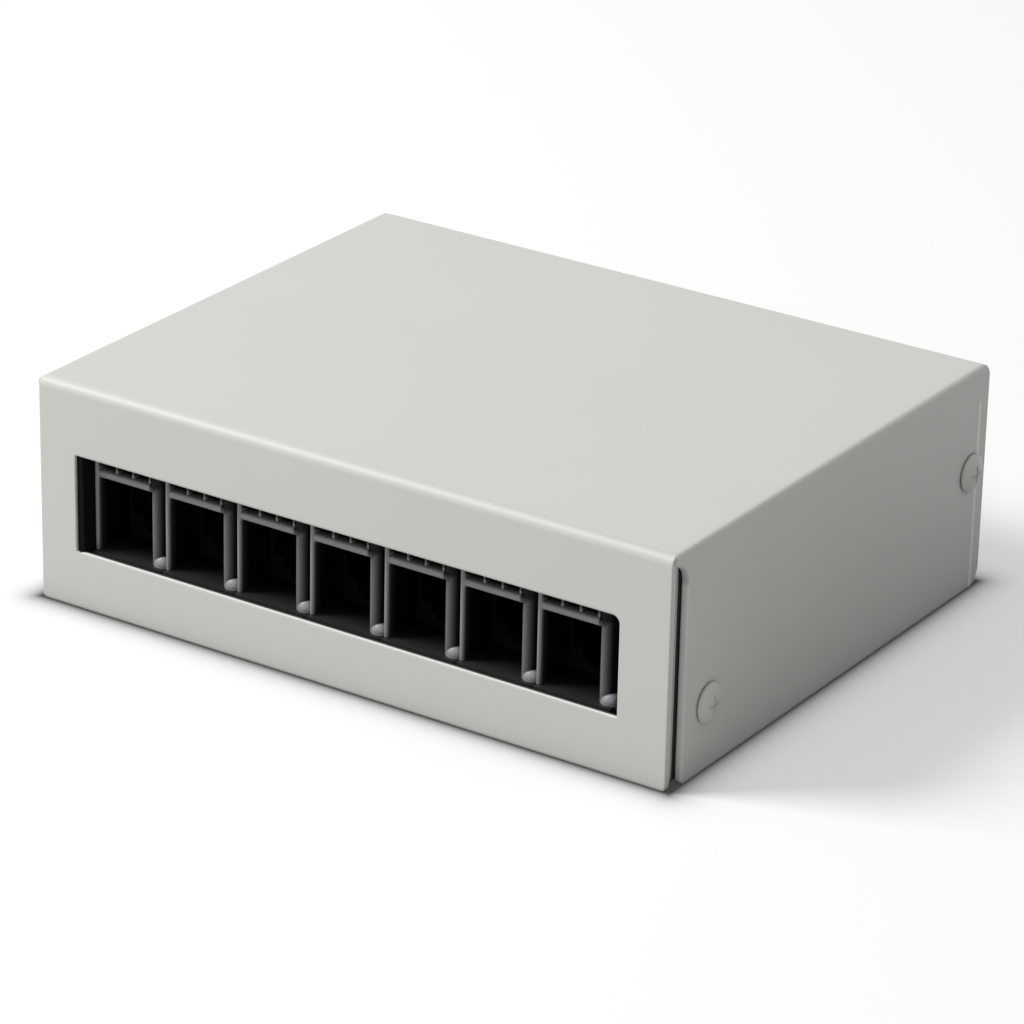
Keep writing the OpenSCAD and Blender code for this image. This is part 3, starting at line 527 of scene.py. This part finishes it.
class PORTBOX_OT_fixings(bpy.types.Operator):
    """Nuts, small screws, spacers and the earth point"""
    bl_idname = "portbox.fixings"
    bl_label = "Fixings"

    def execute(self, context):
        steel = cached("zinc_plated_fixing",
                       lambda: plated_metal("zinc_plated_fixing", "#CDD1D6", "#B4B8BD", 4 * MM, 0.22, 0.34))
        brass = cached("turned_brass",
                       lambda: plated_metal("turned_brass", "#C9A95C", "#B39345", 4 * MM, 0.24, 0.34))
        for name in ("cover_nuts", "carrier_screws", "standoff_screws", "board_screws", "tie_bar_screws",
                     "earth_washer"):
            paint_node(name, steel)
        for name in ("board_standoffs", "earth_stud", "earth_nut"):
            paint_node(name, brass)
        return {"FINISHED"}


class PORTBOX_OT_cable_entries(bpy.types.Operator):
    """Rubber bushes in the rear wall"""
    bl_idname = "portbox.cable_entries"
    bl_label = "Cable entries"

    def execute(self, context):
        plastic = context.scene.box_mouldings
        rubber = cached("moulded_rubber_black", lambda: moulded_plastic(
            "moulded_rubber_black", plastic.rubber_colour, 0.3 * MM, 0.62, 0.78, 0.01 * MM))
        for side in ("left", "right"):
            node = f"entry_grommet_{side}"
            piece = make_piece(f"entry_bush_{side}", node, take_node(node), rubber)
            round_edges(piece, 0.5 * MM)
        return {"FINISHED"}


# The camera was worked out from the box's edges, in widths of the cover.
CAMERA_AZIMUTH = math.radians(33.404)
CAMERA_ELEVATION = math.radians(23.602)
CAMERA_ROLL = math.radians(1.229)
CAMERA_DISTANCE = 6.535
CAMERA_RIGHT = -0.0016
CAMERA_UP = 0.1034
FOCAL_PIXELS = 4812.2
FRAME_PIXELS = 1024
SENSOR_MM = 36.0


def place_camera(scene):
    """Camera at the photograph's viewing angle and distance."""
    a, e = CAMERA_AZIMUTH, CAMERA_ELEVATION
    back = Vector((math.sin(a) * math.cos(e), -math.cos(a) * math.cos(e), math.sin(e)))
    level = Vector((math.cos(a), math.sin(a), 0))
    rise = back.cross(level)
    right = math.cos(CAMERA_ROLL) * level + math.sin(CAMERA_ROLL) * rise
    up = -math.sin(CAMERA_ROLL) * level + math.cos(CAMERA_ROLL) * rise
    spot = COVER_WIDTH * (CAMERA_DISTANCE * back + CAMERA_RIGHT * right + CAMERA_UP * up)
    lens = bpy.data.cameras.new("studio_camera")
    lens.sensor_width = SENSOR_MM
    lens.lens = FOCAL_PIXELS * SENSOR_MM / FRAME_PIXELS
    lens.clip_start = 0.05
    lens.clip_end = 50
    camera = bpy.data.objects.new("studio_camera", lens)
    scene.collection.objects.link(camera)
    turn = Matrix((right, up, back)).transposed().to_4x4()
    camera.matrix_world = Matrix.Translation(spot) @ turn
    scene.camera = camera


def place_lamp(scene, name, spot, target, size, power):
    """Square soft lamp at spot, facing target."""
    light = bpy.data.lights.new(name, "AREA")
    light.shape = "SQUARE"
    light.size = size
    light.energy = power
    lamp = bpy.data.objects.new(name, light)
    scene.collection.objects.link(lamp)
    lamp.location = spot
    lamp.rotation_mode = "QUATERNION"
    lamp.rotation_quaternion = (Vector(spot) - Vector(target)).to_track_quat("Z", "Y")
    lamp.visible_camera = False
    return lamp


def by_ray(tree, seen, mirrored, lighting):
    """Shader seen by the camera, the one in reflections and the one that lights the object."""
    path = add(tree, "ShaderNodeLightPath").outputs
    mirror = add(tree, "ShaderNodeMath", {0: path["Is Glossy Ray"], 1: path["Is Transmission Ray"]},
                 operation="MAXIMUM")
    first = add(tree, "ShaderNodeMixShader", {0: mirror.outputs[0], 1: lighting.outputs[0], 2: mirrored.outputs[0]})
    return add(tree, "ShaderNodeMixShader", {0: path["Is Camera Ray"], 1: first.outputs[0], 2: seen.outputs[0]})


def white_world(scene, studio):
    """White surroundings to the eye, dimmer in reflections, and a weak even light on the object."""
    world = bpy.data.worlds.new("white_surroundings")
    scene.world = world
    world.use_nodes = True
    tree = world.node_tree
    tree.nodes.clear()
    white = [add(tree, "ShaderNodeBackground", Color=(1, 1, 1, 1), Strength=strength)
             for strength in (1.0, studio.mirrored, studio.ambient)]
    add(tree, "ShaderNodeOutputWorld", {"Surface": by_ray(tree, *white).outputs[0]})


def foot_shadow(tree):
    """Share of the table's brightness that is left near the box's foot, from the distance to the foot."""
    place = add(tree, "ShaderNodeTexCoord").outputs["Object"]
    outside = add(tree, "ShaderNodeVectorMath", {0: place}, operation="ABSOLUTE").outputs[0]
    outside = add(tree, "ShaderNodeVectorMath", {0: outside}, operation="SUBTRACT")
    outside.inputs[1].default_value = (COVER_HIGH.x, COVER_HIGH.y, 0)
    outside = add(tree, "ShaderNodeVectorMath", {0: outside.outputs[0]}, operation="MAXIMUM")
    outside.inputs[1].default_value = (0, 0, 0)
    away = add(tree, "ShaderNodeVectorMath", {0: outside.outputs[0]}, operation="LENGTH").outputs["Value"]
    away = step(tree, away, 0, 1, 0, -1 / (3 * MM))
    away.node.clamp = False
    fall = add(tree, "ShaderNodeMath", {0: away}, operation="EXPONENT").outputs[0]
    return step(tree, fall, 0, 1, 1, 0.1)


def floor_material(bounce):
    """Matt white table that the box's shadow and a painted shadow round its foot tone down, and that throws little
    light back.
    """
    material = bpy.data.materials.new("matt_white_table")
    material.use_nodes = True
    tree = material.node_tree
    tree.nodes.clear()
    dull = add(tree, "ShaderNodeBsdfDiffuse", Color=(bounce, bounce, bounce, 1.0))
    plain = add(tree, "ShaderNodeBsdfDiffuse", Color=(0.95, 0.95, 0.95, 1.0))
    glow = add(tree, "ShaderNodeEmission", Strength=1.2)
    white = add(tree, "ShaderNodeMixShader", {1: plain.outputs[0], 2: glow.outputs[0]}, Fac=0.33)
    black = add(tree, "ShaderNodeBsdfDiffuse", Color=(0, 0, 0, 1.0))
    # Painted shadow round the box's foot, seen by the camera, in reflections and in the light the table throws back.
    left = foot_shadow(tree)
    seen = add(tree, "ShaderNodeMixShader", {0: left, 1: black.outputs[0], 2: white.outputs[0]})
    near = add(tree, "ShaderNodeMixShader", {0: left, 1: black.outputs[0], 2: dull.outputs[0]})
    add(tree, "ShaderNodeOutputMaterial", {"Surface": by_ray(tree, seen, near, near).outputs[0]})
    return material


class PORTBOX_OT_stage(bpy.types.Operator):
    """Table, lamp, surroundings and camera"""
    bl_idname = "portbox.stage"
    bl_label = "Stage"

    def execute(self, context):
        scene = context.scene
        studio = scene.box_studio
        place_camera(scene)
        half = 4.0
        mesh = bpy.data.meshes.new("table_top")
        mesh.from_pydata([(-half, -half, 0), (half, -half, 0), (half, half, 0), (-half, half, 0)], [], [(0, 1, 2, 3)])
        mesh.materials.append(floor_material(studio.bounce))
        table = bpy.data.objects.new("table_top", mesh)
        scene.collection.objects.link(table)
        middle = (0, 0, 0.02)
        key = Vector((-0.62, -0.4, 0.68)).normalized() * 2.1
        place_lamp(scene, "key_lamp", key, middle, 0.7, studio.key_power)
        white_world(scene, studio)
        scene.view_settings.view_transform = "Standard"
        return {"FINISHED"}


STEPS = (
    PORTBOX_OT_cover, PORTBOX_OT_sheet_parts, PORTBOX_OT_port_frames, PORTBOX_OT_row_end, PORTBOX_OT_jacks,
    PORTBOX_OT_board, PORTBOX_OT_fixings, PORTBOX_OT_cable_entries, PORTBOX_OT_stage,
)


class PORTBOX_PT_panel(bpy.types.Panel):
    """Steps that dress the box, in order"""
    bl_idname = "PORTBOX_PT_panel"
    bl_label = "Port box"
    bl_space_type = "VIEW_3D"
    bl_region_type = "UI"
    bl_category = "Port box"

    def draw(self, context):
        for step in STEPS:
            self.layout.operator(step.bl_idname)
        for name in SETTINGS:
            self.layout.label(text=name)


SETTINGS = {"box_paint": BoxPaint, "box_mouldings": BoxMouldings, "box_studio": BoxStudio}
CLASSES = (*SETTINGS.values(), *STEPS, PORTBOX_PT_panel)


def register():
    for item in CLASSES:
        bpy.utils.register_class(item)
    for name, group in SETTINGS.items():
        setattr(bpy.types.Scene, name, bpy.props.PointerProperty(type=group))


def unregister():
    for name in SETTINGS:
        delattr(bpy.types.Scene, name)
    for item in reversed(CLASSES):
        bpy.utils.unregister_class(item)


def main():
    register()
    for step in STEPS:
        family, name = step.bl_idname.split(".")
        getattr(getattr(bpy.ops, family), name)()


if __name__ == "__main__":
    main()
